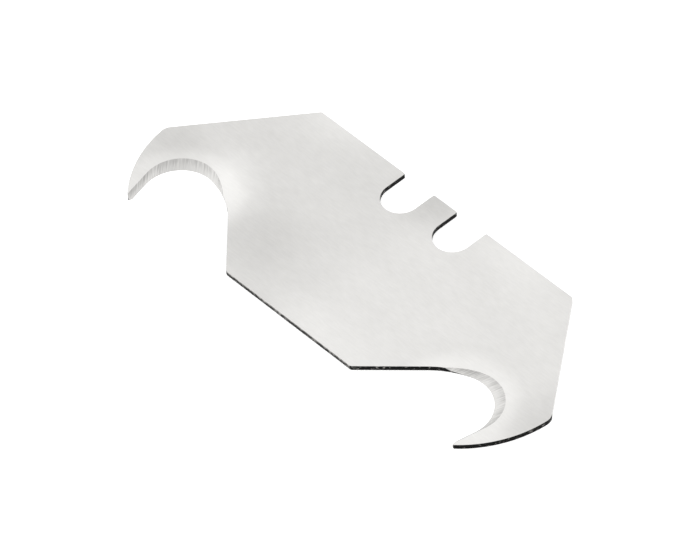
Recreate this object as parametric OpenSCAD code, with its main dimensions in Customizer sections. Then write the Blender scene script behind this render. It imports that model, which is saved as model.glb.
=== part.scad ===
// Double-ended hook blade for a utility knife: one plate of hardened strip steel.
// X runs along the blade, +Y points to the notched back and +Z is the thickness.
// The origin is the middle of the plate's outline, on its lower face.

/* [Plate] */
// Overall length, over the backs of the two hooks
blade_length = 50; // [49.6:0.1:50.4]
// Overall width, from the notched back to the belly
blade_width = 19; // [18.8:0.1:19.2]
// Thickness of the strip steel
thickness = 0.5; // [0.4:0.05:0.7]
// Length of the straight back edge
back_length = 32.5; // [32.2:0.1:32.8]
// Length of the straight belly edge
belly_length = 16.2; // [15.8:0.1:16.4]
// Angle that each sloping end makes with the back edge
end_angle = 51.5; // [51.2:0.1:51.8]
// Radius of the rounded corner at each end
corner_r = 1.2; // [1:0.1:1.4]

/* [Locating notches] */
// Distance between the middles of the two notches
notch_pitch = 6.75; // [6.5:0.05:7]
// Width of a notch, and the diameter of its round bottom
notch_width = 3.75; // [3.5:0.05:4]
// Depth of a notch below the back edge
notch_depth = 4.15; // [3.5:0.05:4.5]

/* [Hooks] */
// Radius of the convex back of a hook
hook_back_r = 11.7; // [11.2:0.1:12.2]
// Distance from the middle of the blade to the outside of a tip
tip_x = 21.2; // [21.1:0.05:21.4]
// Width of the blunt point at a tip
tip_flat = 0.15; // [0.1:0.05:0.2]
// Slope of the punched side of a tip, from the blade's width
tip_relief = 17; // [14:1:20]
// Radius of the cutting edge
edge_r = 3.6; // [3.55:0.05:3.7]
// Distance from the middle of the blade to the cutting edge's centre
edge_x = 17.75; // [17.7:0.05:17.8]
// Depth of a hook, from the belly line to the top of the cutting edge
hook_depth = 6.8; // [6.75:0.05:6.85]
// Bearing on its circle at which the cutting edge straightens for the tip
tip_angle = -12.8; // [-14:0.2:-12]
// Slope of the straight flank between the belly and a hook
flank_angle = 43.6; // [43.4:0.1:43.8]
// Radius that blends the flank into the cutting edge
flank_blend_r = 9; // [8:0.5:10]

/* [Ground bevel] */
// Width of the bevel where it is widest
bevel_width = 1; // [0.8:0.05:1.1]
// Direction in which the bevel is widest, from the blade's length
bevel_direction = 50; // [46:1:54]
// Radius on which the wheel leaves the cutting edge's circle and runs out at the flank
runout_r = 7.5; // [7:0.5:8]
// How far right of the middle the grinding jig holds the cutting edges
jig_offset_x = -0.17; // [-0.2:0.01:0.2]
// How far the jig tilts the right cutting edge up and the left one down
jig_offset_y = 0.08; // [-0.1:0.01:0.1]

/* [Hidden] */
$fn = 96;
through = 1; // how far a cutter runs past the plate
grind_stock = 0.1; // metal that the punch leaves for the grinding wheel
runout_start = 110; // bearing at which the wheel starts to leave the edge's circle
runout_end = 140; // bearing by which it is clear of the flank
runout_steps = 6; // straight steps that it leaves in
half_width = blade_width / 2;
cut_height = thickness + 2 * through;

function unit(angle) = [cos(angle), sin(angle)];
function bearing(v) = atan2(v.y, v.x);

// The corner's circle touches the sloping end and the end of the overall length.
end_normal = unit(90 - end_angle);
corner_x = blade_length / 2 - corner_r;
corner_y = half_width
    - (corner_r + (corner_x - back_length / 2) * end_normal.x) / end_normal.y;
corner_centre = [corner_x, corner_y];

// The hook's back is an arc that touches the corner's circle and ends at the tip.
tip_outside = [tip_x, -half_width];
corner_to_tip = tip_outside - corner_centre;
tip_gap = norm(corner_to_tip);
back_gap = hook_back_r - corner_r;
back_along = (tip_gap ^ 2 + back_gap ^ 2 - hook_back_r ^ 2) / (2 * tip_gap);
back_aside = sqrt(back_gap ^ 2 - back_along ^ 2);
back_centre = corner_centre + (back_along * corner_to_tip
    + back_aside * [corner_to_tip.y, -corner_to_tip.x]) / tip_gap;
back_start = bearing(corner_centre - back_centre);
back_end = bearing(tip_outside - back_centre);

// Centre of a cutting edge, with the left hook (side -1) drawn mirrored on the right.
function edge_centre(side) =
    [edge_x, hook_depth - half_width - edge_r] + side * [jig_offset_x, jig_offset_y];

// The blend arc touches the flank, and encloses and touches the cutting edge's circle.
belly_corner = [belly_length / 2, -half_width];
flank_way = unit(flank_angle);
flank_normal = unit(flank_angle - 90);
function blend_gap(edge_off_flank) =
    sqrt((flank_blend_r - edge_r) ^ 2 - (flank_blend_r - edge_off_flank) ^ 2);
function flank_end(edge) = belly_corner + flank_way
    * ((edge - belly_corner) * flank_way - blend_gap((edge - belly_corner) * flank_normal));

// The cutting edge leaves its circle along the tangent that runs to the tip.
tip_inside = [tip_x - tip_flat, -half_width];
tip_way = unit(tip_angle - 90);
relief_way = [tan(tip_relief), -1];

// Its children at the right end, and mirrored at the left end, where $side is -1.
module both_ends() {
    for ($side = [1, -1]) mirror([1 - $side, 0, 0]) children();
}

// A pie slice of a round bar, for arcs of up to about 100 degrees.
module sector(centre, radius, from, to, height) {
    intersection() {
        translate(centre) cylinder(r = radius, h = height);
        linear_extrude(height)
            polygon([
                centre,
                centre + 2 * radius * unit(from),
                centre + 2 * radius * unit((from + to) / 2),
                centre + 2 * radius * unit(to)
            ]);
    }
}

// The plate as it is blanked from the strip, before the gullets and notches. The
// straight sides are one polygon, and bars of the corner's and the back's radius
// fill out its rounded stretches.
module blank() {
    right_side = [
        [back_length / 2, half_width],
        corner_centre + corner_r * end_normal,
        corner_centre + corner_r * unit(back_start),
        tip_outside
    ];
    left_side = [for (i = [len(right_side) - 1:-1:0]) [-right_side[i].x, right_side[i].y]];
    linear_extrude(thickness) polygon(concat(right_side, left_side));
    both_ends() {
        translate(corner_centre) cylinder(r = corner_r, h = thickness);
        sector(back_centre, hook_back_r, back_end, back_start, thickness);
    }
}

// The punched gullet: straight flank, blend arc, a hook that is still undersize, and
// the relieved side of the tip.
module punched_gullet(edge) {
    hook_r = edge_r - grind_stock;
    flank_end = flank_end(edge);
    blend_centre = flank_end + flank_blend_r * flank_normal;
    blend_angle = bearing(edge - blend_centre);
    translate([0, 0, -through]) {
        translate(edge) cylinder(r = hook_r, h = cut_height);
        sector(blend_centre, flank_blend_r, blend_angle, flank_angle + 90, cut_height);
        linear_extrude(cut_height)
            polygon([
                belly_corner - through * flank_way,
                flank_end,
                edge + edge_r * unit(blend_angle),
                edge,
                tip_inside - (edge.y + half_width) * relief_way,
                tip_inside + through * relief_way
            ]);
    }
}

// What the wheel grinds away: its outline slides sideways as it rises through the
// plate, so that it leaves a crescent-shaped bevel down to an edge on the lower face.
module grinding_wheel(edge) {
    slide = bevel_width / thickness * unit(bevel_direction);
    runout_centre = edge - (runout_r - edge_r) * unit(runout_start);
    runout_step = (runout_end - runout_start) / runout_steps;
    runout = [for (i = [runout_steps:-1:0])
        runout_centre + runout_r * unit(runout_start + i * runout_step)];
    edge_side = edge + edge_r * unit(tip_angle);
    multmatrix([[1, 0, slide.x, 0], [0, 1, slide.y, 0], [0, 0, 1, 0]])
        translate([0, 0, -through]) {
            translate(edge) cylinder(r = edge_r, h = cut_height);
            linear_extrude(cut_height)
                polygon([
                    [runout[0].x, -half_width - through],
                    each runout,
                    edge,
                    edge_side,
                    edge_side + half_width * tip_way
                ]);
        }
}

// One locating notch: straight sides and a full round bottom.
module notch() {
    translate([0, half_width - notch_depth + notch_width / 2, -through]) {
        cylinder(d = notch_width, h = cut_height);
        translate([-notch_width / 2, 0, 0]) cube([notch_width, notch_depth, cut_height]);
    }
}

module punched_plate() {
    difference() {
        blank();
        both_ends() {
            punched_gullet(edge_centre($side));
            translate([notch_pitch / 2, 0, 0]) notch();
        }
    }
}

module blade() {
    color([0.86, 0.86, 0.85])
        difference() {
            punched_plate();
            both_ends() grinding_wheel(edge_centre($side));
        }
}

blade();
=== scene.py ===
"""A double-ended hook blade for a utility knife, lying on a pale light table.

The blade is one plate of strip steel. It is drawn here the way it is made: an outline
from the punch, walls up through the thickness, and a wheel that slides outwards as it
rises and so leaves a crescent bevel inside each hook. Shapes are worked out in
millimetres and scaled to metres when the mesh is finished.
"""
import math

import bmesh
import bpy
from mathutils import Matrix, Vector, noise


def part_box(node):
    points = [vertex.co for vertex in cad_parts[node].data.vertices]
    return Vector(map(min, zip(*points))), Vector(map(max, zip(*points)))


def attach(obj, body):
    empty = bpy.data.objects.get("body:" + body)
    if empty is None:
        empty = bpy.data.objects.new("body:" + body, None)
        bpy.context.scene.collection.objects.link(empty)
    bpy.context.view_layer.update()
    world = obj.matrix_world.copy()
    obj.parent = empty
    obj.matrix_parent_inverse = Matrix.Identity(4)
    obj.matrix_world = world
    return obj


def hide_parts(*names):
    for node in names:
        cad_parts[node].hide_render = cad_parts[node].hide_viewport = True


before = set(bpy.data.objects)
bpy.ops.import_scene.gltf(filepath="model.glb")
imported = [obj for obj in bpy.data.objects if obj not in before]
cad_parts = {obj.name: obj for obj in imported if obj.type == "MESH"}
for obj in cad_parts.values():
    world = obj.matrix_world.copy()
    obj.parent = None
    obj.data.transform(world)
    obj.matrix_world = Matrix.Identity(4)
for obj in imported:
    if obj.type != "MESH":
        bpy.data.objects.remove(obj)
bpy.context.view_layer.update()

MM = 0.001
PLATE_TOP_CORNER = Vector(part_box("blade")[1]) / MM

# The plate. Its length, width and thickness come from the frame, the rest is punched in.
HALF_LENGTH, HALF_WIDTH, THICKNESS = PLATE_TOP_CORNER
BACK_LENGTH = 32.5
BELLY_LENGTH = 16.2
END_ANGLE = 51.5
CORNER_R = 1.2
NOTCH_PITCH = 6.75
NOTCH_WIDTH = 3.75
NOTCH_DEPTH = 4.15

# The hooks. The grinding jig holds the blade a little off its middle, so the two
# cutting edges aren't quite mirror images.
HOOK_BACK_R = 11.7
TIP_X = 21.2
TIP_FLAT = 0.15
TIP_RELIEF = 17.0
EDGE_R = 3.6
EDGE_X = 17.75
HOOK_DEPTH = 6.8
TIP_ANGLE = -12.8
FLANK_ANGLE = 43.6
FLANK_BLEND_R = 9.0
JIG_OFFSET = Vector((-0.17, 0.08))

# The bevel that the wheel grinds, and how it runs out along the flank.
BEVEL_WIDTH = 1.0
BEVEL_DIRECTION = 50.0
RUNOUT_R = 7.5
RUNOUT_START = 110.0
RUNOUT_END = 140.0

# What the punch and the wheel leave behind.
DIE_CORNER = 0.12
DIE_ROLL = 0.04
SHOULDER_WAVER = 0.025
WAVER_LENGTH = 0.3

# How finely the mesh is drawn, and what counts as a corner of the outline, as a sharp
# edge, as level and as the same.
STEP = 0.15
WALL_LEVELS = 4
CORNER_TURN = 20
SHARP_ANGLE = 35
LEVEL = 0.999
CLOSE = 0.0015

FACE, PUNCHED_WALL, SLIT_WALL, CROPPED_WALL, BEVEL = range(5)
WALLS = {PUNCHED_WALL, SLIT_WALL, CROPPED_WALL}


def unit(degrees):
    return Vector((math.cos(math.radians(degrees)), math.sin(math.radians(degrees))))


def bearing(way):
    return math.degrees(math.atan2(way.y, way.x))


def mirrored(point, side):
    return Vector((point.x * side, *point[1:]))


# The corner's circle touches the sloping end and the end of the overall length.
END_NORMAL = unit(90 - END_ANGLE)
CORNER_X = HALF_LENGTH - CORNER_R
CORNER_DROP = (CORNER_R + (CORNER_X - BACK_LENGTH / 2) * END_NORMAL.x) / END_NORMAL.y
CORNER = Vector((CORNER_X, HALF_WIDTH - CORNER_DROP))
TIP_OUTSIDE = Vector((TIP_X, -HALF_WIDTH))
TIP_INSIDE = Vector((TIP_X - TIP_FLAT, -HALF_WIDTH))
RELIEF_WAY = unit(90 + TIP_RELIEF)
BELLY_CORNER = Vector((BELLY_LENGTH / 2, -HALF_WIDTH))
NOTCH = Vector((NOTCH_PITCH / 2, HALF_WIDTH - NOTCH_DEPTH + NOTCH_WIDTH / 2))
SLIDE = BEVEL_WIDTH / THICKNESS * unit(BEVEL_DIRECTION)


def hook_back_centre():
    """Centre of the arc that leaves the corner's circle smoothly and ends at the tip."""
    gap = TIP_OUTSIDE - CORNER
    reach = HOOK_BACK_R - CORNER_R
    along = (gap.length ** 2 + reach ** 2 - HOOK_BACK_R ** 2) / (2 * gap.length)
    aside = math.sqrt(reach ** 2 - along ** 2)
    return CORNER + (along * gap + aside * Vector((gap.y, -gap.x))) / gap.length


def edge_centre(side):
    """Centre of a cutting edge, with the left hook (side -1) drawn on the right."""
    return Vector((EDGE_X, HOOK_DEPTH - HALF_WIDTH - EDGE_R)) + side * JIG_OFFSET


def blend_centre(edge):
    """Centre of the arc that touches the flank and encloses the cutting edge's circle."""
    way = unit(FLANK_ANGLE)
    normal = unit(FLANK_ANGLE - 90)
    to_edge = edge - BELLY_CORNER
    back = math.sqrt((FLANK_BLEND_R - EDGE_R) ** 2 - (FLANK_BLEND_R - to_edge.dot(normal)) ** 2)
    return BELLY_CORNER + (to_edge.dot(way) - back) * way + FLANK_BLEND_R * normal


def relief_end(edge):
    """Where the punched relief of a tip, going up from the point, meets the wheel's path."""
    path = unit(TIP_ANGLE)
    short = EDGE_R - (TIP_INSIDE - edge).dot(path)
    return TIP_INSIDE + short / RELIEF_WAY.dot(path) * RELIEF_WAY


def go_straight(bm, vert, point):
    """Carries the outline straight on to a point, in steps, and returns its new end."""
    start = vert.co.xy
    steps = math.ceil((point - start).length / STEP)
    for i in range(1, steps + 1):
        vert = bmesh.ops.extrude_vert_indiv(bm, verts=[vert])["verts"][0]
        vert.co.xy = start.lerp(point, i / steps)
    return vert


def go_round(bm, vert, centre, degrees):
    """Carries the outline round an arc about a centre and returns its new end."""
    radius = (vert.co.xy - centre).length
    steps = math.ceil(math.radians(abs(degrees)) * radius / STEP)
    spun = bmesh.ops.spin(bm, geom=[vert], cent=centre.to_3d(), axis=(0, 0, 1),
                          angle=math.radians(degrees), steps=steps)
    return next(item for item in spun["geom_last"] if isinstance(item, bmesh.types.BMVert))


def draw_half_outline(bm, edge):
    """Half of the outline: the notched back, the sloping end, the hook and the belly."""
    half_notch = Vector((NOTCH_WIDTH / 2, 0))
    mouth = Vector((NOTCH.x, HALF_WIDTH))
    hook_back = hook_back_centre()
    back_start = bearing(CORNER - hook_back)
    blend = blend_centre(edge)
    blend_bearing = bearing(edge - blend)
    end = bmesh.ops.create_vert(bm, co=(0, HALF_WIDTH, 0))["vert"][0]
    end = go_straight(bm, end, mouth - half_notch)
    end = go_straight(bm, end, NOTCH - half_notch)
    end = go_round(bm, end, NOTCH, 180)
    end = go_straight(bm, end, mouth + half_notch)
    end = go_straight(bm, end, Vector((BACK_LENGTH / 2, HALF_WIDTH)))
    end = go_straight(bm, end, CORNER + CORNER_R * END_NORMAL)
    end = go_round(bm, end, CORNER, back_start - bearing(END_NORMAL))
    end = go_round(bm, end, hook_back, bearing(TIP_OUTSIDE - hook_back) - back_start)
    end = go_straight(bm, end, TIP_INSIDE)
    end = go_straight(bm, end, relief_end(edge))
    end = go_straight(bm, end, edge + EDGE_R * unit(TIP_ANGLE))
    end = go_round(bm, end, edge, blend_bearing - TIP_ANGLE)
    end = go_round(bm, end, blend, FLANK_ANGLE + 90 - blend_bearing)
    end = go_straight(bm, end, BELLY_CORNER)
    go_straight(bm, end, Vector((0, -HALF_WIDTH)))


def draw_outline(bm):
    """The whole outline on the lower face, as one n-gon."""
    draw_half_outline(bm, edge_centre(-1))
    bmesh.ops.scale(bm, vec=(-1, 1, 1), verts=bm.verts[:])
    draw_half_outline(bm, edge_centre(1))
    bmesh.ops.remove_doubles(bm, verts=bm.verts[:], dist=CLOSE)
    bmesh.ops.contextual_create(bm, geom=bm.edges[:])


def turn(vert):
    """How sharply the outline turns at a vertex, in degrees."""
    one, two = ((edge.other_vert(vert).co - vert.co).xy for edge in vert.link_edges)
    return 180 - math.degrees(one.angle(two))


def round_corners(bm):
    """The die's own small radius at every punched corner. The hook tips stay sharp."""
    sharp = [v for v in bm.verts if turn(v) > CORNER_TURN and abs(v.co.x) < BACK_LENGTH / 2 + STEP]
    bmesh.ops.bevel(bm, geom=sharp, offset=DIE_CORNER, segments=3, profile=0.5,
                    affect="VERTICES", material=-1)


def circle_heights(out, radius, first, last):
    """Height at which a sliding arc of the wheel reaches a point, given from its centre."""
    rise = out.dot(SLIDE)
    under = rise ** 2 - SLIDE.length_squared * (out.length_squared - radius ** 2)
    if under < 0:
        return []
    height = (rise - math.sqrt(under)) / SLIDE.length_squared
    return [height] if first <= bearing(out - height * SLIDE) <= last else []


def tip_heights(out):
    """Height at which the wheel's straight path out past the tip reaches a point."""
    normal = unit(TIP_ANGLE)
    height = (out.dot(normal) - EDGE_R) / SLIDE.dot(normal)
    return [height] if (out - height * SLIDE).dot(unit(TIP_ANGLE - 90)) >= 0 else []


def grind_height(point):
    """The height at which the wheel starts to take metal above a point of the outline."""
    side = 1 if point.x > 0 else -1
    edge = edge_centre(side)
    runout = edge - (RUNOUT_R - EDGE_R) * unit(RUNOUT_START)
    from_edge = mirrored(point, side).xy - edge
    from_runout = mirrored(point, side).xy - runout
    heights = [THICKNESS]
    heights += tip_heights(from_edge)
    heights += circle_heights(from_edge, EDGE_R, TIP_ANGLE, RUNOUT_START)
    heights += circle_heights(from_runout, RUNOUT_R, RUNOUT_START, RUNOUT_END)
    return max(0.0, min(height for height in heights if height > -STEP))


def grow(bm, ring, material):
    """Extrudes a ring of edges in place, and returns the new ring's edges and verts."""
    grown = bmesh.ops.extrude_edge_only(bm, edges=ring)["geom"]
    for face in (item for item in grown if isinstance(item, bmesh.types.BMFace)):
        face.material_index = material
    edges = [item for item in grown if isinstance(item, bmesh.types.BMEdge)]
    return edges, [item for item in grown if isinstance(item, bmesh.types.BMVert)]


def raise_plate(bm):
    """Walls up to where the wheel starts, the bevel from there, and the upper face."""
    ring = bm.edges[:]
    for level in range(1, WALL_LEVELS + 1):
        ring, verts = grow(bm, ring, PUNCHED_WALL)
        for vert in verts:
            vert.co.z = grind_height(vert.co) * level / WALL_LEVELS
    ring, verts = grow(bm, ring, BEVEL)
    for vert in verts:
        slide = (THICKNESS - vert.co.z) * SLIDE
        waver = SHOULDER_WAVER * noise.noise(vert.co / WAVER_LENGTH)
        vert.co.xy += mirrored(slide, math.copysign(1, vert.co.x)) * (1 + waver)
        vert.co.z = THICKNESS
    upper_face = bmesh.ops.contextual_create(bm, geom=ring)["faces"][0]
    upper_face.material_index = FACE
    bmesh.ops.remove_doubles(bm, verts=bm.verts[:], dist=CLOSE / 10)
    bmesh.ops.recalc_face_normals(bm, faces=bm.faces[:])


def mark_bare_walls(bm):
    """Not all walls are left as punched. The back and belly are the strip's slit edges and the
    sloping ends are cropped; their lighter finishes are partly real and partly painted reflection.
    The walls of the left hook take the bevel's lighter finish, which is painted light on that
    flank."""
    for face in (face for face in bm.faces if face.material_index == PUNCHED_WALL):
        middle = face.calc_center_median()
        from_left_edge = mirrored(middle, -1).xy - edge_centre(-1)
        past_back = abs(middle.x) > BACK_LENGTH / 2 - DIE_CORNER
        if abs(middle.y) > HALF_WIDTH - CLOSE:
            face.material_index = SLIT_WALL
        elif past_back and face.normal.y > END_NORMAL.y - CLOSE:
            face.material_index = CROPPED_WALL
        # The left hook's walls take the lighter bevel finish: painted light.
        elif from_left_edge.length < EDGE_R + BEVEL_WIDTH:
            face.material_index = BEVEL


def roll_edges(bm):
    """The die rolls the upper edge of each wall over. The bevels' edges stay crisp."""
    rolled = [edge for edge in bm.edges
              if {face.material_index for face in edge.link_faces} & WALLS
              and any(face.normal.z > LEVEL for face in edge.link_faces)]
    bmesh.ops.bevel(bm, geom=rolled, offset=DIE_ROLL, segments=2, profile=0.5,
                    affect="EDGES", material=-1, clamp_overlap=True)


def colour(code):
    """An sRGB hex code as the linear colour that a shader socket takes."""
    levels = [int(code[i:i + 2], 16) / 255 for i in (1, 3, 5)]
    return [v / 12.92 if v <= 0.04045 else ((v + 0.055) / 1.055) ** 2.4 for v in levels] + [1]


def add(tree, kind, inputs=None, **settings):
    """Adds a node, sets it, and gives each input its value or the socket that feeds it."""
    node = tree.nodes.new(kind)
    for name, value in settings.items():
        setattr(node, name, value)
    for name, value in (inputs or {}).items():
        if isinstance(value, bpy.types.NodeSocket):
            tree.links.new(value, node.inputs[name])
        else:
            node.inputs[name].default_value = value
    return node


def new_material(name):
    material = bpy.data.materials.new(name)
    material.use_nodes = True
    material.node_tree.nodes.clear()
    return material, material.node_tree


def on_plate(tree, size, centre=(0, 0), angle=0):
    """A place on the plate in plan, from a centre, turned and divided by a size in mm."""
    place = add(tree, "ShaderNodeTexCoord").outputs["Object"]
    return add(tree, "ShaderNodeMapping", {
        "Vector": place,
        "Location": (centre[0] * MM, centre[1] * MM, 0),
        "Rotation": (0, 0, math.radians(angle)),
        "Scale": (size[0] * MM, size[1] * MM, 1),
    }, vector_type="TEXTURE").outputs[0]


def in_metal(tree, size):
    """A place in the metal, in all three directions, divided by a size in mm."""
    place = add(tree, "ShaderNodeTexCoord").outputs["Object"]
    return add(tree, "ShaderNodeMapping", {
        "Vector": place, "Scale": (size * MM,) * 3}, vector_type="TEXTURE").outputs[0]


def speckle(tree, place, gain, detail=2.0):
    """Noise about nought, of a given gain, one lump to each unit of place."""
    lumps = add(tree, "ShaderNodeTexNoise", {"Vector": place, "Scale": 1.0, "Detail": detail})
    return add(tree, "ShaderNodeMapRange", {
        "Value": lumps.outputs[0], "To Min": -gain, "To Max": gain}, clamp=False).outputs[0]


def fade(tree, value, start, stop, gain):
    """A gain that falls smoothly from full at start to nothing at stop."""
    return add(tree, "ShaderNodeMapRange", {
        "Value": value, "From Min": start, "From Max": stop, "To Min": gain, "To Max": 0.0,
    }, interpolation_type="SMOOTHERSTEP").outputs[0]


def total(tree, parts):
    """The sum of several sockets and numbers."""
    result = parts[0]
    for part in parts[1:]:
        result = add(tree, "ShaderNodeMath", {0: result, 1: part}, operation="ADD").outputs[0]
    return result


def coat(tree, tone, dull, bright, shader_inputs):
    """A surface that goes from its dull to its bright colour as the tone goes 0 to 1.
    The Mix node's colours are its inputs 6 and 7 and its output 2."""
    mixed = add(tree, "ShaderNodeMix", {0: tone, 6: colour(dull), 7: colour(bright)},
                data_type="RGBA", clamp_factor=True).outputs[2]
    shader = add(tree, "ShaderNodeBsdfPrincipled", {"Base Color": mixed, **shader_inputs})
    add(tree, "ShaderNodeOutputMaterial", {"Surface": shader.outputs[0]})


def distance(tree, place):
    """How far a place is from its centre, in the unit of the place."""
    return add(tree, "ShaderNodeVectorMath", {0: place}, operation="LENGTH").outputs["Value"]


def patches(tree, rows):
    """A tone for each row: centre x, y, half length, half width in mm, turn, gain in tone."""
    for x, y, half_length, half_width, angle, gain in rows:
        place = on_plate(tree, (half_length, half_width), (x, y), angle)
        yield fade(tree, distance(tree, place), 0, 1, gain)


# Soft patches of lighter or darker tone. On the face they are painted reflections and shade,
# partly uneven finishing; on the bevels they darken parts that catch brighter light, which is
# painted shade. Each row is one soft-edged patch, as patches() reads it.
FACE_FINISH_AND_PAINTED_REFLECTIONS = (
    (-15.5, -2.2, 6.5, 4.2, -38, 0.34),
    (-8.5, -5.0, 6.5, 6.0, 0, -0.20),
    (-23.0, -2.2, 5.0, 4.5, 0, -0.22),
    (24.8, -2.0, 5.0, 6.0, 0, -0.30),
    (-0.5, 9.0, 5.0, 5.5, 0, -0.38),
    (10.0, 9.0, 7.0, 4.5, 0, 0.12),
    (4.0, -9.0, 14.0, 6.0, 0, 0.14),
    (-14.0, 10.0, 6.5, 4.5, 0, 0.26),
)
# Painted shade: soft patches that darken parts of the bevels.
BEVEL_PAINTED_SHADE = (
    (-21.1, -8.8, 8.0, 7.0, 0, -0.26),
    (21.1, -8.8, 5.5, 5.5, 0, -0.95),
    (15.3, -2.8, 3.5, 3.0, 0, -0.40),
)

# Where the lighter band round each hook starts to fade and where it ends, from the edge.
BAND_START = 0.8
BAND_END = 3.2


def satin_rolled_face():
    """Bright-rolled strip steel, satin: pale and nearly even, with a faint grain along the
    strip and a lighter band round each hook. The grain is drawn coarser than the real one,
    which is too fine to be seen."""
    material, tree = new_material("satin_rolled_strip_steel")
    across = add(tree, "ShaderNodeSeparateXYZ", {0: on_plate(tree, (1, 1))})
    # Darker towards the left end of the face: painted shade.
    parts = [fade(tree, across.outputs["X"], -6, 4, -0.19), 0.54]
    # Soft patches of lighter and darker tone on the face: painted reflections and shade, partly
    # uneven finishing.
    parts += patches(tree, FACE_FINISH_AND_PAINTED_REFLECTIONS)
    for side in (-1, 1):
        place = on_plate(tree, (1, 1), mirrored(edge_centre(side), side))
        band = (EDGE_R + BAND_START, EDGE_R + BAND_END)
        parts.append(fade(tree, distance(tree, place), *band, 0.26))
    parts.append(speckle(tree, on_plate(tree, (1.0, 0.16)), 0.14, 3))
    parts.append(speckle(tree, on_plate(tree, (1.2, 0.8)), 0.10, 3))
    parts.append(speckle(tree, on_plate(tree, (7, 4)), 0.10, 1))
    grain = speckle(tree, on_plate(tree, (0.6, 0.12)), 1, 3)
    bump = add(tree, "ShaderNodeBump", {"Height": grain, "Distance": 0.0004 * MM})
    coat(tree, total(tree, parts), "#BAB9B7", "#E1E0DE", {
        "Metallic": 1.0, "Roughness": 0.38, "Normal": bump.outputs[0]})
    return material


def scaled_wall():
    """Black hardening scale on the punched edges, with grey specks of bare fracture."""
    material, tree = new_material("furnace_scaled_punched_edge")
    tone = total(tree, [-0.5, speckle(tree, in_metal(tree, 0.35), 3.0, 3)])
    coat(tree, tone, "#020202", "#8C8A87", {"Roughness": 0.4, "Specular IOR Level": 0.06})
    return material


def slit_wall():
    """The strip's slit edge: a burnished upper band over a dark torn one, as slitting leaves. It
    is drawn lighter than the punched walls, partly as painted reflection.
    """
    material, tree = new_material("slit_strip_edge")
    place = add(tree, "ShaderNodeTexCoord").outputs["Object"]
    height = add(tree, "ShaderNodeSeparateXYZ", {0: place}).outputs["Z"]
    burnished = fade(tree, height, THICKNESS * MM, 0.5 * THICKNESS * MM, 0.9)
    tone = total(tree, [0.0, burnished, speckle(tree, in_metal(tree, 0.4), 1.2, 3)])
    coat(tree, tone, "#1C1B1A", "#B4B2AF", {"Metallic": 1.0, "Roughness": 0.5})
    return material


def cropped_wall():
    """The ends are cropped by a sharp shear. They are drawn nearly as bright as the face, partly
    for the shear's finish and partly as painted reflection.
    """
    material, tree = new_material("shear_cropped_edge")
    tone = total(tree, [0.6, speckle(tree, in_metal(tree, 0.6), 0.4, 3)])
    coat(tree, tone, "#B1B0AE", "#E0DFDD", {"Metallic": 1.0, "Roughness": 0.5})
    return material


def ground_bevel():
    """Wheel-ground steel: duller than the face and lighter towards the cutting edge, with
    grit marks across the bevel, drawn a few times coarser than real ones."""
    material, tree = new_material("wheel_ground_bevel")
    marks = add(tree, "ShaderNodeUVMap", uv_map="grind").outputs[0]
    fine = add(tree, "ShaderNodeMapping", {"Vector": marks, "Scale": (8, 0.6, 1)}).outputs[0]
    broad = add(tree, "ShaderNodeMapping", {"Vector": marks, "Scale": (1.8, 0.5, 1)}).outputs[0]
    height = add(tree, "ShaderNodeSeparateXYZ", {0: marks}).outputs["Y"]
    honed = fade(tree, height, 0, BEVEL_WIDTH, 0.32)
    # The patches darken parts of the bevels: painted shade.
    tone = total(tree, [0.72, honed, speckle(tree, fine, 0.64, 2), speckle(tree, broad, 0.25, 2),
                        *patches(tree, BEVEL_PAINTED_SHADE)])
    coat(tree, tone, "#858482", "#CFCECC", {"Metallic": 1.0, "Roughness": 0.4})
    return material


def unroll_bevel(bm):
    """Unrolls the ground faces: u runs along the cutting edge and v up the bevel, in mm."""
    layer = bm.loops.layers.uv.new("grind")
    for face in bm.faces:
        side = math.copysign(1, face.calc_center_median().x)
        edge = edge_centre(side)
        for loop in face.loops:
            place = loop.vert.co
            out = mirrored(place, side).xy - edge - place.z * SLIDE
            along = math.radians(bearing(out)) * EDGE_R + side * HALF_LENGTH
            loop[layer].uv = (along, place.z * SLIDE.length)


def make_blade():
    """Shapes the blade in millimetres, scales it to metres and gives it its finishes."""
    bm = bmesh.new()
    draw_outline(bm)
    round_corners(bm)
    raise_plate(bm)
    mark_bare_walls(bm)
    roll_edges(bm)
    unroll_bevel(bm)
    bmesh.ops.scale(bm, vec=(MM, MM, MM), verts=bm.verts[:])
    mesh = bpy.data.meshes.new("hook_blade")
    bm.to_mesh(mesh)
    bm.free()
    mesh.set_sharp_from_angle(angle=math.radians(SHARP_ANGLE))
    for polygon in mesh.polygons:
        polygon.use_smooth = abs(polygon.normal.z) < LEVEL
    for make_material in (satin_rolled_face, scaled_wall, slit_wall, cropped_wall, ground_bevel):
        mesh.materials.append(make_material())
    blade = bpy.data.objects.new("hook_blade", mesh)
    bpy.context.collection.objects.link(blade)
    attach(blade, "root")
    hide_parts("blade")


# The table, which is 1.5 m each way from the blade and a hair below it.
FLOOR_SIZE = 1.5
FLOOR_GAP = 0.02


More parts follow.
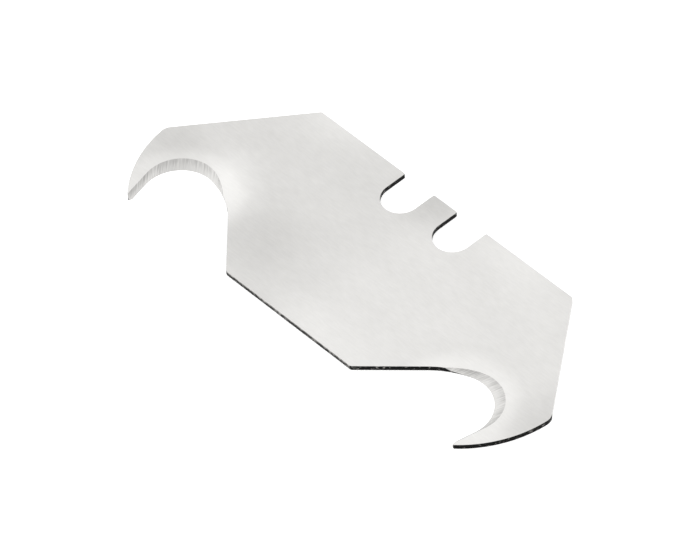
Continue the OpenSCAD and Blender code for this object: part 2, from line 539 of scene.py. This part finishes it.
def make_floor():
    """A plain white table that glows a little, so that nothing on it casts a hard shadow."""
    bm = bmesh.new()
    bmesh.ops.create_grid(bm, x_segments=1, y_segments=1, size=FLOOR_SIZE)
    mesh = bpy.data.meshes.new("floor")
    bm.to_mesh(mesh)
    bm.free()
    mesh.transform(Matrix.Translation((0, 0, -FLOOR_GAP * MM)))
    material, tree = new_material("white_light_table")
    shader = add(tree, "ShaderNodeBsdfPrincipled", {
        "Base Color": colour("#F2F2F2"), "Roughness": 0.9,
        "Emission Color": (1, 1, 1, 1), "Emission Strength": 0.4})
    add(tree, "ShaderNodeOutputMaterial", {"Surface": shader.outputs[0]})
    mesh.materials.append(material)
    floor = bpy.data.objects.new("floor", mesh)
    bpy.context.collection.objects.link(floor)


def light_studio():
    """A light tent: bright all round, and a little dimmer straight overhead."""
    world = bpy.data.worlds.new("light_tent")
    world.use_nodes = True
    tree = world.node_tree
    tree.nodes.clear()
    way = add(tree, "ShaderNodeTexCoord").outputs["Generated"]
    height = add(tree, "ShaderNodeSeparateXYZ", {0: way}).outputs["Z"]
    strength = add(tree, "ShaderNodeMapRange", {
        "Value": height, "From Min": 0.7, "From Max": 1.0, "To Min": 1.36, "To Max": 0.95})
    light = add(tree, "ShaderNodeBackground", {
        "Color": (1, 1, 1, 1), "Strength": strength.outputs[0]})
    add(tree, "ShaderNodeOutputWorld", {"Surface": light.outputs[0]})
    bpy.context.scene.world = world


# The camera looks down on the middle of the blade, from in front and to the right.
CAMERA_TURN = 51.285
CAMERA_HEIGHT = 47.375
CAMERA_ROLL = -5.5
CAMERA_DISTANCE = 648.44
CAMERA_ASIDE = Vector((-1.5453, -1.4216))
CAMERA_LIFT = 0.065
FRAME_WIDTH = 61.69
SENSOR_WIDTH = 36


def aim_camera():
    """Turns, tips and rolls the camera about the blade's middle, then moves it back."""
    data = bpy.data.cameras.new("camera")
    data.sensor_width = SENSOR_WIDTH
    data.lens = SENSOR_WIDTH * CAMERA_DISTANCE / FRAME_WIDTH
    camera = bpy.data.objects.new("camera", data)
    turned = Matrix.Rotation(math.radians(CAMERA_TURN), 4, "Z")
    tipped = Matrix.Rotation(math.radians(90 - CAMERA_HEIGHT), 4, "X")
    rolled = Matrix.Rotation(math.radians(CAMERA_ROLL), 4, "Z")
    place = Vector((*CAMERA_ASIDE, CAMERA_DISTANCE)) * MM
    lift = Matrix.Translation((0, 0, CAMERA_LIFT * MM))
    camera.matrix_world = lift @ turned @ tipped @ rolled @ Matrix.Translation(place)
    bpy.context.collection.objects.link(camera)
    bpy.context.scene.camera = camera


make_blade()
make_floor()
light_studio()
aim_camera()
bpy.context.scene.view_settings.view_transform = "Standard"
